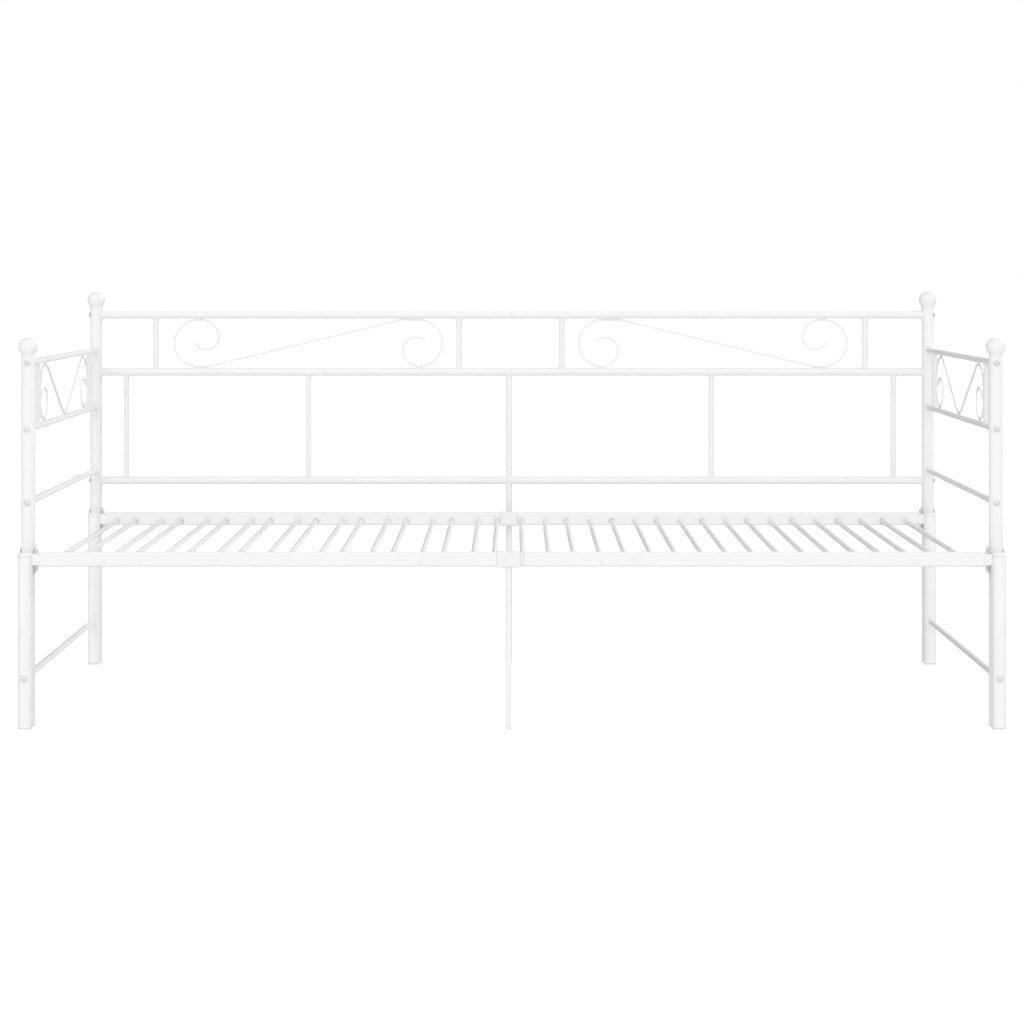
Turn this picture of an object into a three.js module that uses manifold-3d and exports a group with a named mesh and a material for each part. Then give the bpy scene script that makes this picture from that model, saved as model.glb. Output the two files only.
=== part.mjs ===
// A white tubular-steel daybed whose front half pulls out to double its width.
// The fixed frame has four tall posts with ball knobs, scrollwork arms and a scrollwork back.
// The pull-out frame has four short legs that stand just in front of the posts.
// Both frames carry slats on the same pitch, which pass between each other and through the
// two inner rails, so the pull-out slides straight forward on its slats and lower guide bars.
// Units are millimetres. +Z is up, the front faces -Y, and left is -X.
import * as THREE from 'three';
import { mergeVertices } from 'three/addons/utils/BufferGeometryUtils.js';
import Module from 'manifold-3d';

// ---------------------------------------------------------------- driving dimensions
const POST_SPAN_X = 2040; // between the centres of the left and right posts
const POST_SPAN_Y = 925; // between the centres of the front and rear posts
const FRONT_POST_TOP = 781;
const REAR_POST_TOP = 869.5;
const POST_RADIUS = 15;
const POST_WALL = 1.5;

const LEG_GAP = 7.5; // between a post and the pull-out leg in front of it
const LEG_DROP = 9; // a pull-out leg's tube ends this far below the top of its rail

const KNOB_RADIUS = 21;
const KNOB_HEIGHT = 39.5;
const KNOB_COLLAR = 4;
const DOME_HEIGHT = 3.5;
const CAP_RIM = 4; // thickness of a cap's rim, below the foot or above the leg
const CAP_OVERHANG = 0.2; // how far a cap's rim stands proud of its tube
const PLUG_LENGTH = 16;
const PLUG_CLEARANCE = 0.8;

const ARM_BAR_RADIUS = 7;
const ARM_DROP = 14.5; // the arm's top bar is centred this far below the front post's top
const ARM_HEIGHT = 139.5; // between the centres of the arm's two bars
const SIDE_BAR_Z = 472;
const ARM_STILE_RADIUS = 6.5;
const ARM_STILE_SETBACK = 112.5; // from each post's centre

const PANEL_RAIL_RADIUS = 10;
const PANEL_WALL = 1.5;
const PANEL_DROP = 16.5; // the top rail is centred this far below the rear post's top
const PANEL_UPPER_HEIGHT = 140; // between the centres of the top and middle rails
const PANEL_LOW_Z = 447;
const PANEL_STILE_RADIUS = 7.5;
const UPPER_STILES = { setback: 150, inner: 126, shift: -3.5 }; // setback is from the post's centre
const LOWER_STILES = { setback: 79, inner: 494, shift: -5 };
const PANEL_DOWEL_LENGTH = 120;

const SCROLL_ROD_RADIUS = 3;
// clear is from a stile's centre to the centre of the loop beside it. flat and crown are the straight
// runs along the rails, before the loop and after it.
const BACK_SCROLL = {
  outer: { clear: 101.5, flat: 19, crown: 11, coils: [41.5, 31, 29.5], lastTurn: 65 },
  inner: { clear: 98, flat: 41, crown: 0, coils: [40, 31, 34], lastTurn: 45 },
};
const ARM_SCROLL = { valley: 70, crest: 67, clear: 94, coils: [40, 28, 60], lastTurn: 45 };

const MIDDLE_X = -7.5; // the centre joiners, the centre stile and the centre leg
const CENTRE_STILE_RADIUS = 8;
const CENTRE_LEG_RADIUS = 6;
const CENTRE_WALL = 1.2;

const RAIL_HEIGHT = 30;
const RAIL_DEPTH = 15;
const RAIL_WALL = 1.2;
const PULL_RAIL_Z = 357; // middle height of the pull-out rails
const FIXED_RAIL_Z = 351.5;
const PULL_RAIL_SETBACK = 33; // from a leg's centre to the end of its rail, which shows the leg's stub
const STUB_HEIGHT = 23;
const STUB_REACH = 42; // how far a leg stub reaches into its rail

const COLLAR = { length: 42, proud: 3 };
const FRONT_COLLAR_LENGTH = 50; // the one in the middle of the pull-out's front rail
const FRONT_SEAM = 9; // the right half of that rail stops this short of its collar
const SPIGOT_REACH = 38; // from a collar into each rail half
const END_PLATE = { thickness: 2.5, depth: 20, height: 56 };

const SLAT_RADIUS = 6;
const SLAT_WALL = 1;
const SLAT_PITCH = 110;
const SLAT_CLEARANCE = 1; // between a slat and the flats of the hole that it slides through
// first is from a set's own middle to its first slat. margin is the least distance from its last
// slat to a post's centre: the fixed slats keep clear of the stubs in the rail that they pass through.
const STUB_MARGIN = PULL_RAIL_SETBACK + STUB_REACH + SLAT_RADIUS + SLAT_CLEARANCE;
const FIXED_SLATS = { first: 30, shift: MIDDLE_X, margin: STUB_MARGIN + Math.abs(MIDDLE_X) };
const PULL_SLATS = { first: 81, shift: -2, margin: 45 };
const STRIP = { thickness: 3, height: 24, overhang: 7, lift: 5 }; // lift is above the slats' centres

const GUIDE_BAR_RADIUS = 7;
const GUIDE_BAR_Z = 107;
const GUIDE_CLEARANCE = 1.5;
const SPIGOT_CLEARANCE = 0.6; // round a spigot inside its rail

const GAP = 0.3; // left between pieces that touch
const RUN_IN = 0.2; // how far a welded member runs into the one that it is welded to

// ---------------------------------------------------------------- worked-out places
const postX = POST_SPAN_X / 2;
const frontY = -POST_SPAN_Y / 2;
const rearY = POST_SPAN_Y / 2;
const legOffset = 2 * POST_RADIUS + LEG_GAP;
const pullFrontY = frontY - legOffset;
const pullRearY = rearY - legOffset;
const postFace = POST_RADIUS + GAP; // from a post's centre to what butts against it
const pullRailBottom = PULL_RAIL_Z - RAIL_HEIGHT / 2;
const legTop = PULL_RAIL_Z + RAIL_HEIGHT / 2 - LEG_DROP;
const pullRailEnd = postX - PULL_RAIL_SETBACK;
const slatZ = pullRailBottom + RAIL_WALL + SLAT_CLEARANCE + SLAT_RADIUS + GAP;
const armTopZ = FRONT_POST_TOP - ARM_DROP;
const armLowZ = armTopZ - ARM_HEIGHT;
const armStileY = rearY - ARM_STILE_SETBACK;
const panelTopZ = REAR_POST_TOP - PANEL_DROP;
const panelMidZ = panelTopZ - PANEL_UPPER_HEIGHT;

const SIDES = [['left', -1], ['right', 1]];

const stripZ = slatZ + STRIP.lift;

// ---------------------------------------------------------------- finishes
function finish(color, roughness, metalness) {
  return new THREE.MeshStandardMaterial({ color, roughness, metalness });
}
const powderCoat = finish(0xf4f4f2, 0.38, 0.15);
const innerSteel = finish(0xefefed, 0.42, 0.15);
const slatSteel = finish(0xf1f1ef, 0.4, 0.15);
const whitePlastic = finish(0xf2f2f0, 0.3, 0);
const joinerPlastic = finish(0xececea, 0.45, 0);

// ---------------------------------------------------------------- solids
const manifold = await Module();
manifold.setup();

function closed(geometry) {
  geometry.deleteAttribute('normal');
  geometry.deleteAttribute('uv');
  return mergeVertices(geometry, 1e-4);
}

function toSolid(geometry) {
  const shell = closed(geometry);
  const mesh = new manifold.Mesh({
    numProp: 3,
    vertProperties: Float32Array.from(shell.attributes.position.array),
    triVerts: Uint32Array.from(shell.index.array),
  });
  return new manifold.Manifold(mesh);
}

function toGeometry(solid) {
  const mesh = solid.getMesh();
  const geometry = new THREE.BufferGeometry();
  geometry.setAttribute('position', new THREE.BufferAttribute(mesh.vertProperties, 3));
  geometry.setIndex(new THREE.BufferAttribute(mesh.triVerts, 1));
  return geometry;
}

function join(...geometries) {
  return toGeometry(geometries.map(toSolid).reduce((whole, part) => whole.add(part)));
}

function cut(geometry, ...tools) {
  return toGeometry(tools.map(toSolid).reduce((rest, tool) => rest.subtract(tool), toSolid(geometry)));
}

function turned(profile, sides) {
  const points = profile.map(([radius, height]) => new THREE.Vector2(radius, height));
  const geometry = new THREE.LatheGeometry(points, sides);
  geometry.rotateX(Math.PI / 2);
  return geometry;
}

// A round bar or, with a wall, a round tube from one point to another.
function round(from, to, radius, { wall = 0, sides = 12 } = {}) {
  const start = new THREE.Vector3(...from);
  const run = new THREE.Vector3(...to).sub(start);
  const length = run.length();
  const inner = radius - wall;
  const profile = wall
    ? [[radius, 0], [radius, length], [inner, length], [inner, 0], [radius, 0]]
    : [[0, 0], [radius, 0], [radius, length], [0, length]];
  const geometry = turned(profile, sides);
  geometry.rotateZ(Math.PI / sides);
  const turn = new THREE.Quaternion().setFromUnitVectors(new THREE.Vector3(0, 0, 1), run.normalize());
  geometry.applyQuaternion(turn);
  geometry.translate(start.x, start.y, start.z);
  return geometry;
}

// A box between two opposite corners.
function block([x0, y0, z0], [x1, y1, z1]) {
  const geometry = new THREE.BoxGeometry(Math.abs(x1 - x0), Math.abs(y1 - y0), Math.abs(z1 - z0));
  geometry.translate((x0 + x1) / 2, (y0 + y1) / 2, (z0 + z1) / 2);
  return geometry;
}

// ---------------------------------------------------------------- scrolled rods
const DEGREES = Math.PI / 180;
const ARC_STEP = 20;

// Draws a plane path from a start point and heading, as straight runs and arcs.
// Each move is [length] for a straight run or [radius, turn] for an arc, with turn in degrees.
function drawPath(x, z, heading, moves) {
  const pieces = [];
  for (const [size, turn] of moves) {
    const [x0, z0, from] = [x, z, heading];
    let at;
    if (turn === undefined) {
      at = (t) => [x0 + size * t * Math.cos(from), z0 + size * t * Math.sin(from)];
    } else {
      const side = Math.sign(turn);
      const centreX = x0 - side * size * Math.sin(from);
      const centreZ = z0 + side * size * Math.cos(from);
      at = (t) => {
        const angle = from + turn * DEGREES * t;
        return [centreX + side * size * Math.sin(angle), centreZ - side * size * Math.cos(angle)];
      };
      heading += turn * DEGREES;
    }
    [x, z] = at(1);
    pieces.push({ at, steps: turn === undefined ? 1 : Math.ceil(Math.abs(turn) / ARC_STEP) });
  }
  return pieces;
}

// The straight line that crosses between two circles, leaving one below and meeting one above.
function crossTangent(dx, dz, radius, otherRadius) {
  const distance = Math.hypot(dx, dz);
  const angle = Math.asin((radius + otherRadius) / distance) + Math.atan2(dz, dx);
  return { angle, length: Math.sqrt(distance ** 2 - (radius + otherRadius) ** 2) };
}

// A curve whose parameter gives each piece of the path its own whole number of steps.
class SteppedPath extends THREE.Curve {
  constructor(pieces, locate) {
    super();
    this.pieces = pieces;
    this.locate = locate;
    this.steps = pieces.reduce((sum, piece) => sum + piece.steps, 0);
  }

  getPoint(t) {
    let left = t * this.steps;
    let index = 0;
    while (index < this.pieces.length - 1 && left > this.pieces[index].steps) {
      left -= this.pieces[index].steps;
      index += 1;
    }
    const piece = this.pieces[index];
    return this.locate(...piece.at(left / piece.steps));
  }

  getUtoTmapping(u) {
    return u;
  }
}

// Joins two half paths at their common start, with the far half mapped by the given mirror.
function joinHalves(near, far, mirror) {
  const mirrored = far.map(({ at, steps }) => ({ steps, at: (t) => mirror(...at(1 - t)) }));
  return [...mirrored.reverse(), ...near];
}

function rodAlong(pieces, locate) {
  const path = new SteppedPath(pieces, locate);
  const corners = [0, 1, 2, 3, 4, 5].map((corner) => {
    const angle = (corner + 0.5) * 60 * DEGREES;
    return new THREE.Vector2(Math.cos(angle), Math.sin(angle)).multiplyScalar(SCROLL_ROD_RADIUS);
  });
  const options = { steps: path.steps, extrudePath: path, bevelEnabled: false };
  return toGeometry(toSolid(new THREE.ExtrudeGeometry(new THREE.Shape(corners), options)));
}

// ---------------------------------------------------------------- the model
const daybed = new THREE.Group();
const fixedFrame = new THREE.Group();
const pullOut = new THREE.Group();
daybed.add(fixedFrame, pullOut);

function place(group, name, geometry, material, [x, y, z] = [0, 0, 0]) {
  const mesh = new THREE.Mesh(geometry, material);
  mesh.name = name;
  mesh.position.set(x, y, z);
  group.add(mesh);
}

// ---------------------------------------------------------------- caps and knobs
const capBottom = CAP_RIM + GAP; // where a tube starts above its foot cap

function plugProfile(radius, wall) {
  const plug = radius - wall - PLUG_CLEARANCE;
  return [[0, -PLUG_LENGTH], [plug, -PLUG_LENGTH], [plug, 0], [radius + CAP_OVERHANG, 0]];
}

// A knob is a ball that is cut off low down, where it meets its collar.
function knob() {
  const collar = POST_RADIUS + CAP_OVERHANG;
  const cutOff = 0.75; // the cut's depth below the ball's middle, in radii
  const radiusZ = (KNOB_HEIGHT - KNOB_COLLAR) / (1 + cutOff);
  const ball = [-40, -20, 0, 20, 40, 60, 78].map((degrees) => [
    KNOB_RADIUS * Math.cos(degrees * DEGREES),
    KNOB_HEIGHT - radiusZ * (1 - Math.sin(degrees * DEGREES)),
  ]);
  const neck = [...plugProfile(POST_RADIUS, POST_WALL), [collar, KNOB_COLLAR]];
  return turned([...neck, ...ball, [0, KNOB_HEIGHT]], 16);
}

function domeCap() {
  const rim = POST_RADIUS + CAP_OVERHANG;
  const dome = [0, 30, 60].map((degrees) => [
    rim * Math.cos(degrees * DEGREES),
    CAP_RIM + DOME_HEIGHT * Math.sin(degrees * DEGREES),
  ]);
  const top = [0, CAP_RIM + DOME_HEIGHT];
  return turned([...plugProfile(POST_RADIUS, POST_WALL), ...dome, top], 12);
}

// A foot cap is drawn upside down and turned over, with its rim on the floor.
function footCap(radius, wall) {
  const rim = radius + CAP_OVERHANG;
  const bevel = 1;
  const base = [[rim, CAP_RIM - bevel], [rim - bevel, CAP_RIM], [0, CAP_RIM]];
  const geometry = turned([...plugProfile(radius, wall), ...base], 12);
  geometry.rotateX(Math.PI);
  geometry.translate(0, 0, CAP_RIM);
  return geometry;
}

// ---------------------------------------------------------------- posts and legs
function post(top) {
  return round([0, 0, capBottom], [0, 0, top], POST_RADIUS, { wall: POST_WALL, sides: 16 });
}

// The front posts have a hole from front to back that the guide bar slides through.
function frontPost() {
  const reach = POST_RADIUS * 2;
  const radius = GUIDE_BAR_RADIUS + GUIDE_CLEARANCE;
  return cut(post(FRONT_POST_TOP), round([0, -reach, GUIDE_BAR_Z], [0, reach, GUIDE_BAR_Z], radius));
}

// A pull-out leg carries a flat stub that its rail slides over. Inward is +1 or -1 along X.
function pullLeg(inward) {
  const tube = round([0, 0, capBottom], [0, 0, legTop], POST_RADIUS, { wall: POST_WALL, sides: 16 });
  const depth = RAIL_DEPTH / 2 - RAIL_WALL - SPIGOT_CLEARANCE;
  const low = pullRailBottom + RAIL_WALL + SPIGOT_CLEARANCE;
  const tip = inward * (PULL_RAIL_SETBACK + STUB_REACH);
  const root = block([inward * (POST_RADIUS - POST_WALL + RUN_IN), -depth, low], [tip, depth, legTop - GAP]);
  const upper = inward * (POST_RADIUS + CAP_OVERHANG + GAP);
  const stub = block([upper, -depth, low], [tip, depth, low + STUB_HEIGHT]);
  return join(tube, root, stub);
}

function addPostsAndLegs() {
  for (const [side, sign] of SIDES) {
    const x = sign * postX;
    place(fixedFrame, `front_post_${side}`, frontPost(), powderCoat, [x, frontY, 0]);
    place(fixedFrame, `rear_post_${side}`, post(REAR_POST_TOP), powderCoat, [x, rearY, 0]);
    place(fixedFrame, `front_knob_${side}`, knob(), whitePlastic, [x, frontY, FRONT_POST_TOP + GAP]);
    place(fixedFrame, `rear_knob_${side}`, knob(), whitePlastic, [x, rearY, REAR_POST_TOP + GAP]);
    for (const [end, y, pullY] of [['front', frontY, pullFrontY], ['rear', rearY, pullRearY]]) {
      const foot = footCap(POST_RADIUS, POST_WALL);
      place(fixedFrame, `${end}_foot_${side}`, foot, whitePlastic, [x, y, 0]);
      place(pullOut, `pull_${end}_leg_${side}`, pullLeg(-sign), powderCoat, [x, pullY, 0]);
      place(pullOut, `pull_${end}_cap_${side}`, domeCap(), whitePlastic, [x, pullY, legTop + GAP]);
      place(pullOut, `pull_${end}_foot_${side}`, foot.clone(), whitePlastic, [x, pullY, 0]);
    }
  }
}

// ---------------------------------------------------------------- arms
const barEnd = rearY - postFace;

function armBar(z) {
  return round([0, -barEnd, z], [0, barEnd, z], ARM_BAR_RADIUS, { wall: POST_WALL });
}

function armPanel() {
  const low = armLowZ + ARM_BAR_RADIUS - RUN_IN - POST_WALL / 2;
  const high = armTopZ - ARM_BAR_RADIUS + RUN_IN + POST_WALL / 2;
  const stiles = [-armStileY, armStileY].map((y) => round([0, y, low], [0, y, high], ARM_STILE_RADIUS));
  return join(armBar(armTopZ), armBar(armLowZ), ...stiles);
}

// One rod bent into two coiled hooks that meet in a valley at the arm's middle.
function armScroll() {
  const { valley, crest, clear, coils, lastTurn } = ARM_SCROLL;
  const [back, curl, tip] = coils;
  const crestY = armStileY - clear;
  const low = armLowZ + ARM_BAR_RADIUS + SCROLL_ROD_RADIUS + GAP;
  const high = armTopZ - ARM_BAR_RADIUS - SCROLL_ROD_RADIUS - GAP;
  const { angle, length } = crossTangent(crestY, high - crest - low - valley, valley, crest);
  const half = drawPath(0, low, 0, [
    [valley, angle / DEGREES],
    [length],
    [crest, -90 - angle / DEGREES],
    [high - crest - low, -90],
    [back, -90],
    [curl, -90],
    [tip, -lastTurn],
  ]);
  return rodAlong(joinHalves(half, half, (y, z) => [-y, z]), (y, z) => new THREE.Vector3(0, y, z));
}

function addArms() {
  for (const [side, sign] of SIDES) {
    const at = [sign * postX, 0, 0];
    place(fixedFrame, `arm_panel_${side}`, armPanel(), powderCoat, at);
    place(fixedFrame, `arm_scroll_${side}`, armScroll(), powderCoat, at);
    place(fixedFrame, `side_bar_${side}`, armBar(SIDE_BAR_Z), powderCoat, at);
  }
}

// ---------------------------------------------------------------- back
const panelEnd = postX - postFace;

function panelRail(sign, from, z) {
  return round([from, 0, z], [sign * panelEnd, 0, z], PANEL_RAIL_RADIUS, { wall: PANEL_WALL });
}

function panelStiles(sign, { setback, inner, shift }, lowRail, highRail) {
  const run = PANEL_RAIL_RADIUS - PANEL_WALL / 2 - RUN_IN;
  return [postX - setback, inner].map((distance) => {
    const x = sign * distance + shift;
    return round([x, 0, lowRail + run], [x, 0, highRail - run], PANEL_STILE_RADIUS);
  });
}

// Each half of the back is a welded frame of three rails and four stiles.
function backPanel(sign) {
  const seam = sign * GAP / 2;
  const stileFace = MIDDLE_X + sign * (CENTRE_STILE_RADIUS + GAP);
  return join(
    panelRail(sign, seam, panelTopZ),
    panelRail(sign, seam, panelMidZ),
    panelRail(sign, stileFace, PANEL_LOW_Z),
    ...panelStiles(sign, UPPER_STILES, panelMidZ, panelTopZ),
    ...panelStiles(sign, LOWER_STILES, PANEL_LOW_Z, panelMidZ),
  );
}

// Where the slope of a back scroll meets its flats, as distances from the middle of the back.
function scrollSlope() {
  const { outer, inner } = BACK_SCROLL;
  const from = UPPER_STILES.inner + inner.clear + inner.flat;
  const to = postX - UPPER_STILES.setback - outer.clear - outer.flat;
  return { span: to - from, middle: (from + to) / 2 };
}

// One rod bent into a long lazy S, coiled at both ends, that rises towards the middle of the back.
function backScroll(sign) {
  const room = (panelTopZ - panelMidZ) / 2 - PANEL_RAIL_RADIUS;
  const loop = room - SCROLL_ROD_RADIUS - GAP;
  const { angle, length } = crossTangent(scrollSlope().span, 0, loop, loop);
  const [inner, outer] = [BACK_SCROLL.inner, BACK_SCROLL.outer].map(({ flat, crown, coils, lastTurn }) => {
    const [back, curl, tip] = coils;
    const moves = [
      [length / 2],
      [loop, -angle / DEGREES],
      [flat],
      [loop, -180],
      [crown],
      [back, -90],
      [curl, -90],
      [tip, -lastTurn],
    ];
    return drawPath(0, 0, angle, moves.filter(([size]) => size > 0));
  });
  const path = joinHalves(inner, outer, (x, z) => [-x, -z]);
  return rodAlong(path, (x, z) => new THREE.Vector3(-sign * x, 0, z));
}

function panelDowel() {
  const reach = PANEL_DOWEL_LENGTH / 2;
  return round([-reach, 0, 0], [reach, 0, 0], PANEL_RAIL_RADIUS - PANEL_WALL - PLUG_CLEARANCE);
}

function addBack() {
  const scrollZ = (panelTopZ + panelMidZ) / 2;
  const scrollX = scrollSlope().middle;
  for (const [side, sign] of SIDES) {
    place(fixedFrame, `back_panel_${side}`, backPanel(sign), powderCoat, [0, rearY, 0]);
    const x = sign * scrollX + UPPER_STILES.shift;
    place(fixedFrame, `back_scroll_${side}`, backScroll(sign), powderCoat, [x, rearY, scrollZ]);
  }
  place(fixedFrame, 'top_rail_dowel', panelDowel(), innerSteel, [0, rearY, panelTopZ]);
  place(fixedFrame, 'middle_rail_dowel', panelDowel(), innerSteel, [0, rearY, panelMidZ]);
  const stileTop = panelMidZ - PANEL_RAIL_RADIUS - GAP;
  const tube = { wall: CENTRE_WALL };
  const stile = round([0, 0, capBottom], [0, 0, stileTop], CENTRE_STILE_RADIUS, tube);
  place(fixedFrame, 'centre_stile', stile, powderCoat, [MIDDLE_X, rearY, 0]);
  const foot = footCap(CENTRE_STILE_RADIUS, CENTRE_WALL);
  place(fixedFrame, 'centre_stile_foot', foot, whitePlastic, [MIDDLE_X, rearY, 0]);
}

// ---------------------------------------------------------------- rails, joiners and slats
const collarFace = COLLAR.length / 2 + GAP;

// A box tube along X, centred on Y and Z.
function boxTube(from, to) {
  const [y, z] = [RAIL_DEPTH / 2, RAIL_HEIGHT / 2];
  const [innerY, innerZ] = [y - RAIL_WALL, z - RAIL_WALL];
  const [x0, x1] = [Math.min(from, to), Math.max(from, to)];
  return cut(block([x0, -y, -z], [x1, y, z]), block([x0 - 1, -innerY, -innerZ], [x1 + 1, innerY, innerZ]));
}

function slatPlaces(sign, { first, shift, margin }) {
  const count = 1 + Math.floor((postX - margin - first) / SLAT_PITCH);
  return Array.from({ length: count }, (_, index) => shift + sign * (first + index * SLAT_PITCH));
}

// The hole that a sliding slat needs, eight-sided with a flat below.
function slatHole(x, z) {
  const radius = (SLAT_RADIUS + SLAT_CLEARANCE) / Math.cos(Math.PI / 8);
  return round([x, -RAIL_DEPTH, z], [x, RAIL_DEPTH, z], radius, { sides: 8 });
}

function fixedRail(sign) {
  const end = sign * (postX - postFace - END_PLATE.thickness);
  const outer = sign * (postX - postFace);
  const plate = block(
    [end - sign * RUN_IN, -END_PLATE.depth / 2, -END_PLATE.height / 2],
    [outer, END_PLATE.depth / 2, END_PLATE.height / 2],
  );
  return join(boxTube(MIDDLE_X + sign * collarFace, end), plate);
}

function fixedFrontRail(sign) {
  const holes = slatPlaces(sign, PULL_SLATS).map((x) => slatHole(x, slatZ - FIXED_RAIL_Z));
  return cut(fixedRail(sign), ...holes);
}

function pullRail(sign, from = collarFace) {
  return boxTube(MIDDLE_X + sign * from, sign * pullRailEnd);
}

function pullFrontRail(sign) {
  return pullRail(sign, FRONT_COLLAR_LENGTH / 2 + (sign > 0 ? FRONT_SEAM : GAP));
}

function pullRearRail(sign) {
  const holes = slatPlaces(sign, FIXED_SLATS).map((x) => slatHole(x, slatZ - PULL_RAIL_Z));
  return cut(pullRail(sign), ...holes);
}

// A collar between two rail halves, with a spigot into each.
function joiner({ depth = RAIL_DEPTH + COLLAR.proud, length = COLLAR.length } = {}) {
  const [half, reach] = [length / 2, length / 2 + SPIGOT_REACH];
  const [collarY, collarZ] = [depth / 2, (RAIL_HEIGHT + COLLAR.proud) / 2];
  const spigotY = RAIL_DEPTH / 2 - RAIL_WALL - SPIGOT_CLEARANCE;
  const spigotZ = RAIL_HEIGHT / 2 - RAIL_WALL - SPIGOT_CLEARANCE;
  return join(
    block([-half, -collarY, -collarZ], [half, collarY, collarZ]),
    block([-reach, -spigotY, -spigotZ], [reach, spigotY, spigotZ]),
  );
}

// The rear pull-out joiner lets the innermost fixed slats through its spigots.
function pullRearJoiner() {
  const holes = [-1, 1].map((sign) => {
    return slatHole(FIXED_SLATS.shift + sign * FIXED_SLATS.first - MIDDLE_X, slatZ - PULL_RAIL_Z);
  });
  return cut(joiner(), ...holes);
}

// The rear fixed joiner is deep enough for the centre stile to pass down through it.
function fixedRearJoiner() {
  const bore = CENTRE_STILE_RADIUS + PLUG_CLEARANCE;
  const depth = 2 * bore + 2 * COLLAR.proud;
  return cut(joiner({ depth }), round([0, 0, -RAIL_HEIGHT], [0, 0, RAIL_HEIGHT], bore));
}

// A slat set is a flat strip along a rail with its slats welded to it.
// The slats run from the strip at stripY to tipY, and the strip's outer face is towards the rail.
function slatSet(sign, layout, stripY, tipY) {
  const towards = Math.sign(tipY - stripY);
  const xs = slatPlaces(sign, layout);
  const ends = [Math.min(...xs) - STRIP.overhang, Math.max(...xs) + STRIP.overhang];
  const inner = stripY + towards * STRIP.thickness;
  const strip = block(
    [ends[0], stripY, stripZ - STRIP.height / 2],
    [ends[1], inner, stripZ + STRIP.height / 2],
  );
  const slats = xs.map((x) => {
    const from = [x, inner - towards * RUN_IN, slatZ];
    return round(from, [x, tipY, slatZ], SLAT_RADIUS, { wall: SLAT_WALL, sides: 8 });
  });
  return join(strip, ...slats);
}

function addRailsAndSlats() {
  const face = RAIL_DEPTH / 2 + GAP;
  for (const [side, sign] of SIDES) {
    const frontRail = fixedFrontRail(sign);
    place(fixedFrame, `fixed_front_rail_${side}`, frontRail, powderCoat, [0, frontY, FIXED_RAIL_Z]);
    place(fixedFrame, `fixed_rear_rail_${side}`, fixedRail(sign), powderCoat, [0, rearY, FIXED_RAIL_Z]);
    place(pullOut, `pull_front_rail_${side}`, pullFrontRail(sign), powderCoat, [0, pullFrontY, PULL_RAIL_Z]);
    place(pullOut, `pull_rear_rail_${side}`, pullRearRail(sign), powderCoat, [0, pullRearY, PULL_RAIL_Z]);
    const fixedSlats = slatSet(sign, FIXED_SLATS, rearY - face, frontY + face);
    place(fixedFrame, `fixed_slats_${side}`, fixedSlats, slatSteel);
    const pullSlats = slatSet(sign, PULL_SLATS, pullFrontY + face, pullRearY - face);
    place(pullOut, `pull_slats_${side}`, pullSlats, slatSteel);
  }
  place(fixedFrame, 'fixed_front_joiner', joiner(), joinerPlastic, [MIDDLE_X, frontY, FIXED_RAIL_Z]);
  place(fixedFrame, 'fixed_rear_joiner', fixedRearJoiner(), joinerPlastic, [MIDDLE_X, rearY, FIXED_RAIL_Z]);
  const frontJoiner = joiner({ length: FRONT_COLLAR_LENGTH });
  place(pullOut, 'pull_front_joiner', frontJoiner, joinerPlastic, [MIDDLE_X, pullFrontY, PULL_RAIL_Z]);
  place(pullOut, 'pull_rear_joiner', pullRearJoiner(), joinerPlastic, [MIDDLE_X, pullRearY, PULL_RAIL_Z]);
}

// ---------------------------------------------------------------- guide bars and centre leg
function guideBar() {
  const [from, to] = [pullFrontY + postFace, pullRearY - postFace];
  return round([0, from, 0], [0, to, 0], GUIDE_BAR_RADIUS, { wall: POST_WALL });
}

function addGuidesAndCentreLeg() {
  for (const [side, sign] of SIDES) {
    place(pullOut, `guide_bar_${side}`, guideBar(), powderCoat, [sign * postX, 0, GUIDE_BAR_Z]);
  }
  const top = PULL_RAIL_Z - (RAIL_HEIGHT + COLLAR.proud) / 2 - GAP;
  const leg = round([0, 0, capBottom], [0, 0, top], CENTRE_LEG_RADIUS, { wall: CENTRE_WALL });
  place(pullOut, 'centre_leg', leg, powderCoat, [MIDDLE_X, pullFrontY, 0]);
  const foot = footCap(CENTRE_LEG_RADIUS, CENTRE_WALL);
  place(pullOut, 'centre_leg_foot', foot, whitePlastic, [MIDDLE_X, pullFrontY, 0]);
}

addPostsAndLegs();
addArms();
addBack();
addRailsAndSlats();
addGuidesAndCentreLeg();

// The origin is the middle of the footprint, on the floor.
const frontEdge = pullFrontY - POST_RADIUS - CAP_OVERHANG;
const rearEdge = rearY + KNOB_RADIUS;
daybed.position.y = -(frontEdge + rearEdge) / 2;

export default daybed;
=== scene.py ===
# A white tubular-steel daybed whose front half pulls out, finished for rendering.
# Everything is in metres, in the CAD frame: +X is right, -Y is the front and +Z is up.
import math

import bmesh
import bpy
from mathutils import Matrix, Vector, noise


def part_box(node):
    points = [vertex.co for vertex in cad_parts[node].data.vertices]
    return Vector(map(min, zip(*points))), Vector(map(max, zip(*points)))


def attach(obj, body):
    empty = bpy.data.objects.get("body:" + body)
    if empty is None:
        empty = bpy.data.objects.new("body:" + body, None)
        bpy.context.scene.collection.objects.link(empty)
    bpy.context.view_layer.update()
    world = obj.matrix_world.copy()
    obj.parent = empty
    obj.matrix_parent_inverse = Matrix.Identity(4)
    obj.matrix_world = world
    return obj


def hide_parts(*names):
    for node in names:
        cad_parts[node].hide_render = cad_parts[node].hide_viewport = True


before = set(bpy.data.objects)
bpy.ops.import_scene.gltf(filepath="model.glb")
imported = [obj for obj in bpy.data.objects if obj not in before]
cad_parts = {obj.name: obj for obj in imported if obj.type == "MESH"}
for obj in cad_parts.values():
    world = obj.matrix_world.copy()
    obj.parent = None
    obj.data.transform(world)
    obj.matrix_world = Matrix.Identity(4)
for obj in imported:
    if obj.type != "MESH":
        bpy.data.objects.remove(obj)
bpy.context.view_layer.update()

MM = 0.001
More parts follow.
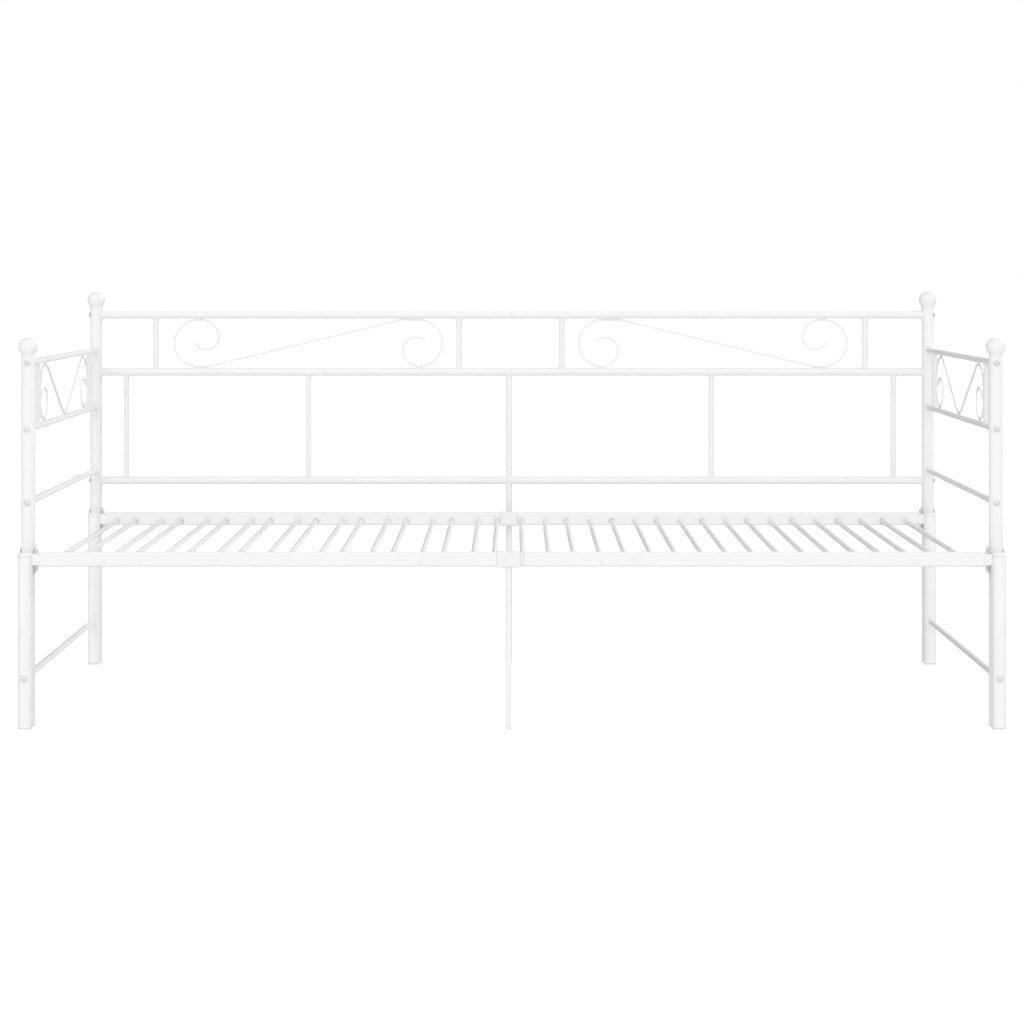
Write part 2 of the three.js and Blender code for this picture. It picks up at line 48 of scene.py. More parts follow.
RIGHT, BACK, UP = Vector((1, 0, 0)), Vector((0, 1, 0)), Vector((0, 0, 1))
SIDES = (("left", -1), ("right", 1))

# ---------------------------------------------------------------- sizes
POST_RADIUS = 15 * MM
POST_WALL = 1.5 * MM
BAR_RADIUS = 7 * MM  # the arm bars, side bars and guide bars
ARM_HEIGHT = 139.5 * MM
ARM_STILE_RADIUS = 6.5 * MM
ARM_STILE_SETBACK = 112.5 * MM
GUIDE_HOLE = 8.5 * MM
CAP_RIM = 4 * MM
DOME_HEIGHT = 3.5 * MM

RAIL_RADIUS = 10 * MM  # the round rails of the back
STILE_RADIUS = 7.5 * MM
UPPER_STILES = (150 * MM, 126 * MM, -3.5 * MM)  # setback from the post, inner place, shift
LOWER_STILES = (79 * MM, 494 * MM, -5 * MM)
CENTRE_STILE_RADIUS = 8 * MM
CENTRE_LEG_RADIUS = 6 * MM
CENTRE_WALL = 1.2 * MM

ROD_RADIUS = 3 * MM  # the bent scrolls
TOUCH = 0.3 * MM  # between a scroll and the bar that it is welded to
ARM_SCROLL = {"valley": 70 * MM, "crest": 67 * MM, "clear": 94 * MM, "last_turn": 45}
ARM_COILS = (40 * MM, 28 * MM, 60 * MM)
# clear is from a stile's centre to the loop's. flat and crown are the runs along the rails.
OUTER_END = {"clear": 101.5 * MM, "flat": 19 * MM, "crown": 11 * MM, "last_turn": 65}
OUTER_COILS = (41.5 * MM, 31 * MM, 29.5 * MM)
INNER_END = {"clear": 98 * MM, "flat": 41 * MM, "crown": 0, "last_turn": 45}
INNER_COILS = (40 * MM, 31 * MM, 34 * MM)

BOX_WALL = 1.2 * MM  # the box rails
BOX_CORNER = 3.4 * MM
SLAT_RADIUS = 6 * MM
SLAT_WALL = 1 * MM
SLAT_PITCH = 110 * MM
SLATS_PER_HALF = 9
FIXED_SLATS = (30 * MM, -7.5 * MM)  # first slat from the set's own middle, and that middle
PULL_SLATS = (81 * MM, -2 * MM)
SLAT_DROP = 5 * MM  # the slats' centres are this far below the middle of their strip
STRIP_THICKNESS = 3 * MM
BUSH_RADIUS = 7.9 * MM

RAIL_HALF_DEPTH = 7.5 * MM  # the box rails, from their centre line
RAIL_HALF_HEIGHT = 15 * MM
SPIGOT_INSET = BOX_WALL + 0.6 * MM  # from a rail's outside to the spigot inside it
COLLAR_LENGTH = 42 * MM
FRONT_COLLAR_LENGTH = 50 * MM
COLLAR_LAP = 0.25 * MM
PLATE = 2.5 * MM  # the end plates of the fixed rails
PLATE_BOLT_RISE = 19 * MM
NUT_GAP = 2.8 * MM  # from a post to the face that its nuts sit on
SCREWED_SLATS = (1, 7)  # the slats of each half that have a screw in front

FOOT_HEIGHT = 4 * MM
OPEN_END = 40 * MM  # the hollow end of a back rail, for its dowel
STILE_SOCKET = 60 * MM  # the hollow foot of the centre stile
LAP = 0.1 * MM  # between the hollow and the solid run of a member
CUT_REACH = 30 * MM  # of a hole's cutter, either side of its middle
BORE_REACH = 40 * MM
SINK = 0.25 * MM  # how far a shaped end runs into the member that it meets

LENS = 94.2
SENSOR = 36
LENS_SHIFT = -0.2349  # lowers the picture without tilting the camera
EYE = (0, -6.097, 0.959)
FLOOR_REACH = 60
FLOOR_TONE = 0.93
FLOOR_GLOW = 0.42


# ---------------------------------------------------------------- places from the frame
def middle(node):
    low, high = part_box(node)
    return (Vector(low) + Vector(high)) / 2


post_x = middle("front_knob_right").x
front_y = middle("front_knob_right").y
rear_y = middle("rear_knob_right").y
pull_front_y = middle("pull_front_cap_right").y
pull_rear_y = middle("pull_rear_cap_right").y
centre_x = middle("centre_stile").x
arm_top_z = middle("arm_panel_left").z + ARM_HEIGHT / 2
arm_low_z = middle("arm_panel_left").z - ARM_HEIGHT / 2
side_bar_z = middle("side_bar_left").z
panel_top_z = middle("top_rail_dowel").z
panel_mid_z = middle("middle_rail_dowel").z
panel_low_z = 2 * middle("back_panel_left").z - panel_top_z
guide_z = middle("guide_bar_left").z
dome_base_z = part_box("pull_front_cap_left")[1][2] - CAP_RIM - DOME_HEIGHT


def at(x, y, z):
    return Vector((x, y, z))


# ---------------------------------------------------------------- surfaces
def angles(count):
    return [2 * math.pi * step / count for step in range(count)]


def arc(first, last, steps):
    """Angles in radians from first to last degrees, in even steps."""
    return [math.radians(first + (last - first) * step / steps) for step in range(steps + 1)]


def square_to(direction):
    """Two unit vectors square to a direction and to each other."""
    along = direction.normalized()
    side = along.orthogonal().normalized()
    return side, along.cross(side)


def bridge(bm, first, second):
    """Joins two rings of vertices. A ring of one vertex is a pole."""
    count = max(len(first), len(second))
    for step in range(count):
        after = (step + 1) % count
        pick = (first[step % len(first)], first[after % len(first)])
        pick += (second[after % len(second)], second[step % len(second)])
        bm.faces.new(list(dict.fromkeys(pick)))


def skin(bm, rings, loop=False):
    """One closed surface over rings of points, closed at its ends or joined end to end."""
    if not loop:
        ends = (rings[0], rings[-1])
        first, last = ([[sum(ring, Vector()) / len(ring)]] if len(ring) > 1 else [] for ring in ends)
        rings = first + list(rings) + last
    made = [[bm.verts.new(point) for point in ring] for ring in rings]
    for first, second in zip(made, made[1:] + made[:1] if loop else made[1:]):
        bridge(bm, first, second)


def turned(bm, profile, base, axis=UP, sides=48, loop=False):
    """A lathe shape. The profile holds (radius, distance along the axis) pairs."""
    side, other = square_to(axis)
    along = axis.normalized()
    rings = []
    for radius, height in profile:
        centre = base + along * height
        if radius < 1e-7:
            rings.append([centre])
            continue
        spin = [side * math.cos(turn) + other * math.sin(turn) for turn in angles(sides)]
        rings.append([centre + step * radius for step in spin])
    skin(bm, rings, loop)


def tube(bm, start, end, radius, wall, sides=48):
    """An open round tube with softly rounded rims."""
    length = (end - start).length
    rim = wall / 2
    centre = radius - rim
    top = [(centre + rim * math.cos(t), length - rim + rim * math.sin(t)) for t in arc(0, 180, 6)]
    bottom = [(centre - rim * math.cos(t), rim - rim * math.sin(t)) for t in arc(0, 180, 6)]
    turned(bm, top + bottom, start, end - start, sides, loop=True)


def cope(member, across):
    """How far from a round member's axis its surface is, at this distance across it."""
    return math.sqrt(max(member**2 - across**2, 0)) - SINK if member else 0


def strut(bm, start, end, radius, first=(0, UP), last=(0, UP), sides=40):
    """A round bar, each end shaped to the round member that it meets.

    start and end lie on the members' axes. first and last hold each member's radius and
    direction, and a radius of 0 leaves that end flat."""
    along = (end - start).normalized()
    side, other = square_to(along)
    rings = []
    for point, sign, (member, direction) in ((start, 1, first), (end, -1, last)):
        across = along.cross(direction).normalized()
        ring = []
        for turn in angles(sides):
            offset = side * (radius * math.cos(turn)) + other * (radius * math.sin(turn))
            ring.append(point + offset + along * (sign * cope(member, offset.dot(across))))
        rings.append(ring)
    skin(bm, rings)


def rod(bm, path, radius, reference, sides=20, loop=False):
    """A round rod along a path. radius is a number or a function of the point."""
    size = radius if callable(radius) else (lambda point: radius)
    count = len(path)
    rings = []
    for step, point in enumerate(path):
        before = path[(step - 1) % count] if loop or step else point
        after = path[(step + 1) % count] if loop or step < count - 1 else point
        heading = (after - before).normalized()
        normal = (reference - heading * reference.dot(heading)).normalized()
        side = heading.cross(normal)
        ring = [normal * math.cos(turn) + side * math.sin(turn) for turn in angles(sides)]
        rings.append((point, heading, ring, size(point)))
    skinned = [[point + step * r for step in ring] for point, heading, ring, r in rings]
    if not loop:
        skinned = round_end(rings[0], -1)[::-1] + skinned + round_end(rings[-1], 1)
    skin(bm, skinned, loop)


def round_end(ring, sign):
    """The shrinking rings that round off a rod's end."""
    point, heading, spokes, radius = ring
    shrinking = []
    for t in arc(22, 82, 3):
        centre = point + heading * (sign * radius * 0.7 * math.sin(t))
        shrinking.append([centre + spoke * (radius * math.cos(t)) for spoke in spokes])
    return shrinking


def ripple(thickness):
    """The uneven width of a weld bead."""
    return lambda point: thickness * (1 + 0.35 * noise.noise(point * 260) + 0.12 * noise.noise(point * 900))


def bead(bm, centre, along, direction, radius, member, thickness=1.5 * MM):
    """A weld bead round the joint between a strut and the round member that it meets."""
    across = along.cross(direction).normalized()
    side, other = square_to(along)
    path = []
    for turn in angles(64):
        offset = (side * math.cos(turn) + other * math.sin(turn)) * (radius + 0.2 * thickness)
        path.append(centre + offset + along * (cope(member, offset.dot(across)) + 0.3 * thickness))
    rod(bm, path, ripple(thickness), along, sides=10, loop=True)


def tack(bm, centre, along, length=15 * MM, thickness=2.2 * MM):
    """A short straight run of weld."""
    steps = 14
    path = [centre + along * (length * (step / steps - 0.5)) for step in range(steps + 1)]
    width = ripple(thickness)

    def size(point):
        share = min(1, abs((point - centre).dot(along)) / (length / 2))
        return width(point) * math.sqrt(max(1 - 0.75 * share**2, 0.1))

    rod(bm, path, size, square_to(along)[0], sides=12)


def rounded_box(bm, low, high, radius=1 * MM, segments=3):
    """A box between two corners with rounded edges."""
    low, high = Vector(low), Vector(high)
    size = high - low
    place = Matrix.Translation((low + high) / 2) @ Matrix.Diagonal((*size, 1))
    made = bmesh.ops.create_cube(bm, size=1, matrix=place)["verts"]
    edges = list({edge for vert in made for edge in vert.link_edges})
    offset = min(radius, min(size) * 0.45)
    bmesh.ops.bevel(bm, geom=edges, offset=offset, segments=segments, profile=0.5, affect="EDGES")


def box_section(half_y, half_z, corner):
    """A rounded rectangle in Y and Z, as points."""
    corners = ((1, 1, 0), (-1, 1, 90), (-1, -1, 180), (1, -1, 270))
    points = []
    for y, z, first in corners:
        for turn in arc(first, first + 90, 5):
            out_y = y * (half_y - corner) + corner * math.cos(turn)
            out_z = z * (half_z - corner) + corner * math.sin(turn)
            points.append((out_y, out_z))
    return points


def box_tube(bm, node_low, node_high):
    """A box tube along X with rounded corners and soft ends."""
    centre = (node_low + node_high) / 2
    half = (node_high - node_low) / 2
    lip = 0.4 * MM
    ends = [(-half.x + lip, 0), (half.x - lip, 0), (half.x, lip), (half.x, BOX_WALL)]
    ends += [(-half.x, BOX_WALL), (-half.x, lip)]
    rings = []
    for x, inset in ends:
        section = box_section(half.y - inset, half.z - inset, max(BOX_CORNER - inset, 0.3 * MM))
        rings.append([centre + at(x, y, z) for y, z in section])
    skin(bm, rings, loop=True)


# ---------------------------------------------------------------- plane paths of the scrolls
def draw_path(u, v, heading, moves):
    """Points of a plane path of runs [length] and arcs [radius, turn], with turn in degrees."""
    points = [(u, v)]
    for size, *turn in moves:
        if not turn:
            u += size * math.cos(heading)
            v += size * math.sin(heading)
            points.append((u, v))
            continue
        side = math.copysign(1, turn[0])
        centre = (u - side * size * math.sin(heading), v + side * size * math.cos(heading))
        steps = math.ceil(abs(turn[0]) / 4)
        for step in range(1, steps + 1):
            angle = heading + math.radians(turn[0]) * step / steps
            u = centre[0] + side * size * math.sin(angle)
            v = centre[1] - side * size * math.cos(angle)
            points.append((u, v))
        heading += math.radians(turn[0])
    return points


def cross_tangent(du, dv, radius, other):
    """The straight line that crosses between two circles: its angle and its length."""
    distance = math.hypot(du, dv)
    angle = math.asin((radius + other) / distance) + math.atan2(dv, du)
    return angle, math.sqrt(distance**2 - (radius + other) ** 2)


# ---------------------------------------------------------------- materials
class Graph:
    """Short names for the shader nodes that the materials share."""

    def __init__(self, name):
        self.material = bpy.data.materials.new(name)
        self.material.use_nodes = True
        self.tree = self.material.node_tree
        self.shader = self.tree.nodes["Principled BSDF"]
        self.place = self.new("ShaderNodeTexCoord").outputs["Object"]

    def new(self, kind, **settings):
        node = self.tree.nodes.new(kind)
        for key, value in settings.items():
            setattr(node, key, value)
        return node

    def link(self, source, target):
        self.tree.links.new(source, target)

    def noise(self, scale, detail=3, stretch=(1, 1, 1)):
        shape = self.new("ShaderNodeMapping")
        shape.inputs["Scale"].default_value = stretch
        self.link(self.place, shape.inputs["Vector"])
        node = self.new("ShaderNodeTexNoise")
        node.inputs["Scale"].default_value = scale
        node.inputs["Detail"].default_value = detail
        self.link(shape.outputs["Vector"], node.inputs["Vector"])
        return node.outputs["Fac"]

    def spread(self, value, low, high, to_low=0, to_high=1):
        node = self.new("ShaderNodeMapRange")
        for key, number in (("From Min", low), ("From Max", high), ("To Min", to_low), ("To Max", to_high)):
            node.inputs[key].default_value = number
        self.link(value, node.inputs["Value"])
        return node.outputs["Result"]

    def blend(self, factor, first, second):
        node = self.new("ShaderNodeMix", data_type="RGBA")
        self.link(factor, node.inputs[0])
        for socket, value in ((node.inputs[6], first), (node.inputs[7], second)):
            if isinstance(value, tuple):
                socket.default_value = (*value, 1)
            else:
                self.link(value, socket)
        return node.outputs[2]

    def bump(self, height, strength, distance, under=None):
        node = self.new("ShaderNodeBump")
        node.inputs["Strength"].default_value = strength
        node.inputs["Distance"].default_value = distance
        self.link(height, node.inputs["Height"])
        if under:
            self.link(under, node.inputs["Normal"])
        return node.outputs["Normal"]


def surface(name, tone, aged, rubbed, gloss, grain, marks, metallic=0.0, coat=0.0):
    """A surface with fine grain, patches of colour and gloss, and rubbed marks.

    gloss is the lowest and highest roughness, grain the grain's scale, strength and depth,
    and marks the scale and stretch of the rubbed marks."""
    graph = Graph(name)
    patches = graph.noise(9, 4)
    specks = graph.noise(marks[0], 5, marks[1])
    worn = graph.spread(specks, 0.60, 0.74, 0, 0.55)
    base = graph.blend(graph.spread(patches, 0.34, 0.70), tone, aged)
    graph.link(graph.blend(worn, base, rubbed), graph.shader.inputs["Base Color"])
    graph.link(graph.spread(graph.noise(7, 2), 0.3, 0.7, *gloss), graph.shader.inputs["Roughness"])
    scale, strength, depth = grain
    fine = graph.bump(graph.noise(scale, 2), strength, depth)
    waves = graph.bump(graph.noise(40, 2), 0.1, 0.00005, fine)
    graph.link(waves, graph.shader.inputs["Normal"])
    graph.shader.inputs["Metallic"].default_value = metallic
    graph.shader.inputs["Coat Weight"].default_value = coat
    graph.shader.inputs["Coat Roughness"].default_value = 0.18
    return graph.material


MATERIALS = {
    "frame_paint": surface(
        "frame_powder_coat", (0.86, 0.86, 0.86), (0.84, 0.84, 0.838), (0.79, 0.79, 0.787),
        gloss=(0.29, 0.32), grain=(520, 0.5, 0.00001), marks=(45, (1, 1, 0.35)), coat=0.2,
    ),
    "slat_paint": surface(
        "slat_powder_coat", (0.85, 0.85, 0.85), (0.835, 0.835, 0.833), (0.815, 0.815, 0.813),
        gloss=(0.27, 0.30), grain=(560, 0.5, 0.000008), marks=(60, (1, 0.08, 1)), coat=0.15,
    ),
    "cap_plastic": surface(
        "cap_moulded_plastic", (0.86, 0.86, 0.857), (0.84, 0.84, 0.835), (0.80, 0.80, 0.796),
        gloss=(0.12, 0.15), grain=(380, 0.4, 0.000006), marks=(120, (1, 1, 1)),
    ),
    "joiner_plastic": surface(
        "joiner_textured_plastic", (0.84, 0.84, 0.838), (0.81, 0.81, 0.806), (0.74, 0.74, 0.737),
        gloss=(0.42, 0.46), grain=(900, 0.6, 0.00002), marks=(90, (1, 1, 1)),
    ),
    "bright_zinc": surface(
        "bright_zinc_plate", (0.80, 0.80, 0.80), (0.72, 0.72, 0.72), (0.58, 0.58, 0.58),
        gloss=(0.26, 0.32), grain=(900, 0.4, 0.000006), marks=(300, (1, 1, 1)), metallic=1.0,
    ),
}


# ---------------------------------------------------------------- pieces
def piece(name, bm, slot, body, *nodes, crease=35):
    """Turns a finished surface into one piece that rides on a body."""
    bmesh.ops.recalc_face_normals(bm, faces=bm.faces)
    mesh = bpy.data.meshes.new(name)
    bm.to_mesh(mesh)
    bm.free()
    mesh.shade_smooth()
    mesh.set_sharp_from_angle(angle=math.radians(crease))
    made = bpy.data.objects.new(name, mesh)
    bpy.context.scene.collection.objects.link(made)
    made.data.materials.append(MATERIALS[slot])
    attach(made, body)
    if nodes:
        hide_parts(*nodes)
    return made


def bored(bm, tools):
    """Cuts the tools' closed surfaces out of a surface."""
    objects = []
    for source in (bm, tools):
        bmesh.ops.recalc_face_normals(source, faces=source.faces)
        mesh = bpy.data.meshes.new("bored")
        source.to_mesh(mesh)
        source.free()
        objects.append(bpy.data.objects.new("bored", mesh))
        bpy.context.scene.collection.objects.link(objects[-1])
    stock, cutter = objects
    hole = stock.modifiers.new("hole", "BOOLEAN")
    hole.operation, hole.object, hole.solver = "DIFFERENCE", cutter, "EXACT"
    hole.use_self = True  # a joiner is several boxes that run into each other
    bpy.context.view_layer.update()
    result = bmesh.new()
    result.from_mesh(stock.evaluated_get(bpy.context.evaluated_depsgraph_get()).to_mesh())
    for made in objects:
        bpy.data.objects.remove(made)
    return result


# ---------------------------------------------------------------- fasteners
def hexagon(turn, radius):
    """A hexagon's distance from its centre, where radius is that of its flats."""
    sixth = math.radians(60)
    return radius / math.cos((turn % sixth) - sixth / 2)


def button_bolt(bm, face, axis, head=5.6 * MM, height=3.2 * MM, socket=2.1 * MM):
    """A domed bolt head with a hexagon socket, on a washer. face is where the washer sits."""
    washer = 0.9 * MM
    rim = head + 1.1 * MM
    edge = 0.3 * MM
    disc = [(rim - edge, 0), (rim, edge), (rim, washer - edge), (rim - edge, washer), (head * 0.5, washer)]
    turned(bm, disc, face, axis, 36)
    side, other = square_to(axis)
    along = axis.normalized()
    turns = angles(36)
    spokes = [side * math.cos(turn) + other * math.sin(turn) for turn in turns]

    def ring(rise, radii):
        return [face + (along * rise + spoke * radius) for spoke, radius in zip(spokes, radii)]

    rings = []
    for t in arc(0, 58, 6):
        rings.append(ring(washer + height * math.sin(t), [head * math.cos(t)] * len(turns)))
    for radius, share in ((socket * 1.06, 0.9), (socket, 0.8), (socket, 0.2)):
        rings.append(ring(washer + height * share, [hexagon(turn, radius) for turn in turns]))
    skin(bm, rings)


def cap_nut(bm, face, axis, flats=3.8 * MM, height=4 * MM):
    """A small domed hexagon nut."""
    side, other = square_to(axis)
    along = axis.normalized()
    # radius and rise as shares, and how far the ring is a hexagon rather than a circle
    profile = ((0.94, 0, 1), (1, 0.08, 1), (1, 0.46, 1), (0.9, 0.56, 0.3), (0.72, 0.8, 0), (0.4, 0.95, 0))
    rings = []
    for radius, rise, blend in profile:
        ring = []
        for turn in angles(36):
            reach = flats * radius * (blend * hexagon(turn, 1) + 1 - blend)
            spoke = side * math.cos(turn) + other * math.sin(turn)
            ring.append(face + along * (rise * height) + spoke * reach)
        rings.append(ring)
    skin(bm, rings)


# ---------------------------------------------------------------- caps, knobs and feet
def plug(radius, wall):
    """The part of a cap that sits inside its tube."""
    inner = radius - wall - 0.8 * MM
    return [(inner - 1 * MM, -16 * MM), (inner, -14.5 * MM), (inner, -0.1 * MM), (radius - 0.4 * MM, 0)]


def knob_profile():
    """A ball on a short collar."""
    ball, collar, height = 21 * MM, 4 * MM, 39.5 * MM
    rise = (height - collar) / 1.75
    edge = POST_RADIUS + 0.2 * MM
    neck = [(edge, 0.5 * MM), (edge, collar - 1 * MM), (edge - 0.5 * MM, collar)]
    round_part = [(ball * math.cos(t), height - rise * (1 - math.sin(t))) for t in arc(-44, 87, 22)]
    return plug(POST_RADIUS, POST_WALL) + neck + round_part + [(0, height)]


def dome_profile():
    """A shallow domed cap."""
    edge = POST_RADIUS + 0.2 * MM
    dome = [(edge * math.cos(t), CAP_RIM + DOME_HEIGHT * math.sin(t)) for t in arc(0, 86, 12)]
    return plug(POST_RADIUS, POST_WALL) + [(edge, 0.5 * MM)] + dome + [(0, CAP_RIM + DOME_HEIGHT)]


def foot_profile(radius, wall):
    """A foot cap, from its plug down to the floor."""
    edge, curve = radius + 0.2 * MM, 1 * MM
    base = []
    for t in arc(0, 90, 4):
        base.append((edge - curve + curve * math.cos(t), FOOT_HEIGHT - curve + curve * math.sin(t)))
    return plug(radius, wall) + [(edge, 0.5 * MM)] + base + [(0, FOOT_HEIGHT)]


def cap(name, profile, base, axis, body, sides=64):
    bm = bmesh.new()
    turned(bm, profile, base, axis, sides)
    piece(name + "_fine", bm, "cap_plastic", body, name)


def add_caps():
    for side, sign in SIDES:
        x = sign * post_x
        for end, y, pull_y in (("front", front_y, pull_front_y), ("rear", rear_y, pull_rear_y)):
            top = at(x, y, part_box(f"{end}_post_{side}")[1][2])
            cap(f"{end}_knob_{side}", knob_profile(), top, UP, "frame")
            dome_base = at(x, pull_y, dome_base_z)
            cap(f"pull_{end}_cap_{side}", dome_profile(), dome_base, UP, "pull_out")
            foot = foot_profile(POST_RADIUS, POST_WALL)
            cap(f"{end}_foot_{side}", foot, at(x, y, FOOT_HEIGHT), -UP, "frame")
            cap(f"pull_{end}_foot_{side}", foot, at(x, pull_y, FOOT_HEIGHT), -UP, "pull_out")
    stile_foot = foot_profile(CENTRE_STILE_RADIUS, CENTRE_WALL)
    cap("centre_stile_foot", stile_foot, at(centre_x, rear_y, FOOT_HEIGHT), -UP, "frame", 40)
    leg_foot = foot_profile(CENTRE_LEG_RADIUS, CENTRE_WALL)
    cap("centre_leg_foot", leg_foot, at(centre_x, pull_front_y, FOOT_HEIGHT), -UP, "pull_out", 40)


# ---------------------------------------------------------------- posts and legs
def add_posts():
    for side, sign in SIDES:
        x = sign * post_x
        for end, y in (("front", front_y), ("rear", rear_y)):
            node = f"{end}_post_{side}"
            low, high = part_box(node)
            bm = bmesh.new()
            tube(bm, at(x, y, low[2]), at(x, y, high[2]), POST_RADIUS, POST_WALL, 64)
            if end == "front":
                tool = bmesh.new()
                front, rear = at(x, y - CUT_REACH, guide_z), at(x, y + CUT_REACH, guide_z)
                strut(tool, front, rear, GUIDE_HOLE, sides=36)
                bm = bored(bm, tool)
            piece(node + "_fine", bm, "frame_paint", "frame", node)


def add_pull_legs():
    for side, sign in SIDES:
        x = sign * post_x
        for end, y in (("front", pull_front_y), ("rear", pull_rear_y)):
            node = f"pull_{end}_leg_{side}"
            low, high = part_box(node)
            bm = bmesh.new()
            tube(bm, at(x, y, low[2]), at(x, y, dome_base_z - TOUCH), POST_RADIUS, POST_WALL, 64)
            rail_low, rail_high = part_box(f"pull_{end}_rail_{side}")
            half = (rail_high[1] - rail_low[1]) / 2 - SPIGOT_INSET
            tip = low[0] if sign > 0 else high[0]
            root = x - sign * (POST_RADIUS - 1 * MM)
            stub_top = high[2]
            corners = sorted((tip, root))
            stub_low = at(corners[0], y - half, rail_low[2] + SPIGOT_INSET)
            rounded_box(bm, stub_low, at(corners[1], y + half, stub_top), 1.6 * MM)
            weld_x = x - sign * (POST_RADIUS + 0.2 * MM)
            for face in (-1, 1):
                tack(bm, at(weld_x, y + face * half, (rail_low[2] + stub_top) / 2), UP, 13 * MM, 1.5 * MM)
            piece(node + "_fine", bm, "frame_paint", "pull_out", node)


# ---------------------------------------------------------------- arms
def arm_bar(bm, x, z):
    post = (POST_RADIUS, UP)
    strut(bm, at(x, front_y, z), at(x, rear_y, z), BAR_RADIUS, post, post)


def arm_panel(x):
    bm = bmesh.new()
    arm_bar(bm, x, arm_top_z)
    arm_bar(bm, x, arm_low_z)
    for y in (front_y + ARM_STILE_SETBACK, rear_y - ARM_STILE_SETBACK):
        bar = (BAR_RADIUS, BACK)
        strut(bm, at(x, y, arm_low_z), at(x, y, arm_top_z), ARM_STILE_RADIUS, bar, bar)
        bead(bm, at(x, y, arm_low_z), UP, BACK, ARM_STILE_RADIUS, BAR_RADIUS)
        bead(bm, at(x, y, arm_top_z), -UP, BACK, ARM_STILE_RADIUS, BAR_RADIUS)
    return bm


def arm_scroll(x):
    middle_y = (front_y + rear_y) / 2
    valley, crest = ARM_SCROLL["valley"], ARM_SCROLL["crest"]
    stile_y = rear_y - ARM_STILE_SETBACK - middle_y
    crest_y = stile_y - ARM_SCROLL["clear"]
    low = arm_low_z + BAR_RADIUS + ROD_RADIUS + TOUCH
    high = arm_top_z - BAR_RADIUS - ROD_RADIUS - TOUCH
    back, curl, tip = ARM_COILS
    angle, length = cross_tangent(crest_y, high - crest - low - valley, valley, crest)
    half = draw_path(0, low, 0, [
        (valley, math.degrees(angle)),
        (length,),
        (crest, -90 - math.degrees(angle)),
        (high - crest - low, -90),
        (back, -90),
        (curl, -90),
        (tip, -ARM_SCROLL["last_turn"]),
    ])
    whole = [(-y, z) for y, z in half[:0:-1]] + half
    bm = bmesh.new()
    rod(bm, [at(x, middle_y + y, z) for y, z in whole], ROD_RADIUS, RIGHT)
    tack(bm, at(x, middle_y, low - ROD_RADIUS), BACK, 18 * MM)
    for sign in (-1, 1):
        tack(bm, at(x, middle_y + sign * crest_y, high + ROD_RADIUS), BACK)
        coil_y = crest_y + crest - (high - crest - low)
        tack(bm, at(x, middle_y + sign * coil_y, low - ROD_RADIUS), BACK, 12 * MM)
    return bm


def add_arms():
    for side, sign in SIDES:
        x = sign * post_x
        piece(f"arm_panel_{side}_fine", arm_panel(x), "frame_paint", "frame", f"arm_panel_{side}")
        piece(f"arm_scroll_{side}_fine", arm_scroll(x), "frame_paint", "frame", f"arm_scroll_{side}")
        bm = bmesh.new()
        arm_bar(bm, x, side_bar_z)
        piece(f"side_bar_{side}_fine", bm, "frame_paint", "frame", f"side_bar_{side}")


# ---------------------------------------------------------------- back
def rail_with_open_end(bm, sign, seam, z):
    """A round rail from an open, rounded end at the seam to a post."""
    post = (POST_RADIUS, UP)
    joint = seam + sign * OPEN_END
    tube(bm, at(seam, rear_y, z), at(joint + sign * LAP, rear_y, z), RAIL_RADIUS, POST_WALL)
    strut(bm, at(joint, rear_y, z), at(sign * post_x, rear_y, z), RAIL_RADIUS, last=post, sides=48)


def back_panel(sign):
    bm = bmesh.new()
    seam = sign * 0.15 * MM
    for z in (panel_top_z, panel_mid_z):
        rail_with_open_end(bm, sign, seam, z)
    stile, post = (CENTRE_STILE_RADIUS, UP), (POST_RADIUS, UP)
    low = panel_low_z
    strut(bm, at(centre_x, rear_y, low), at(sign * post_x, rear_y, low), RAIL_RADIUS, stile, post, 48)
    rail = (RAIL_RADIUS, RIGHT)
    layouts = ((UPPER_STILES, panel_mid_z, panel_top_z), (LOWER_STILES, panel_low_z, panel_mid_z))
    for (setback, inner, shift), z0, z1 in layouts:
        for distance in (post_x - setback, inner):
            x = sign * distance + shift
            strut(bm, at(x, rear_y, z0), at(x, rear_y, z1), STILE_RADIUS, rail, rail)
            bead(bm, at(x, rear_y, z0), UP, RIGHT, STILE_RADIUS, RAIL_RADIUS)
            bead(bm, at(x, rear_y, z1), -UP, RIGHT, STILE_RADIUS, RAIL_RADIUS)
    return bm


def scroll_end(angle, slope, loop, end, coils):
    """Half of a back scroll, from the middle of its slope to its tip."""
    back, curl, tip = coils
    moves = [
        (slope / 2,),
        (loop, -math.degrees(angle)),
        (end["flat"],),
        (loop, -180),
        (end["crown"],),
        (back, -90),
        (curl, -90),
        (tip, -end["last_turn"]),
    ]
    return draw_path(0, 0, angle, [move for move in moves if move[0] > 0])


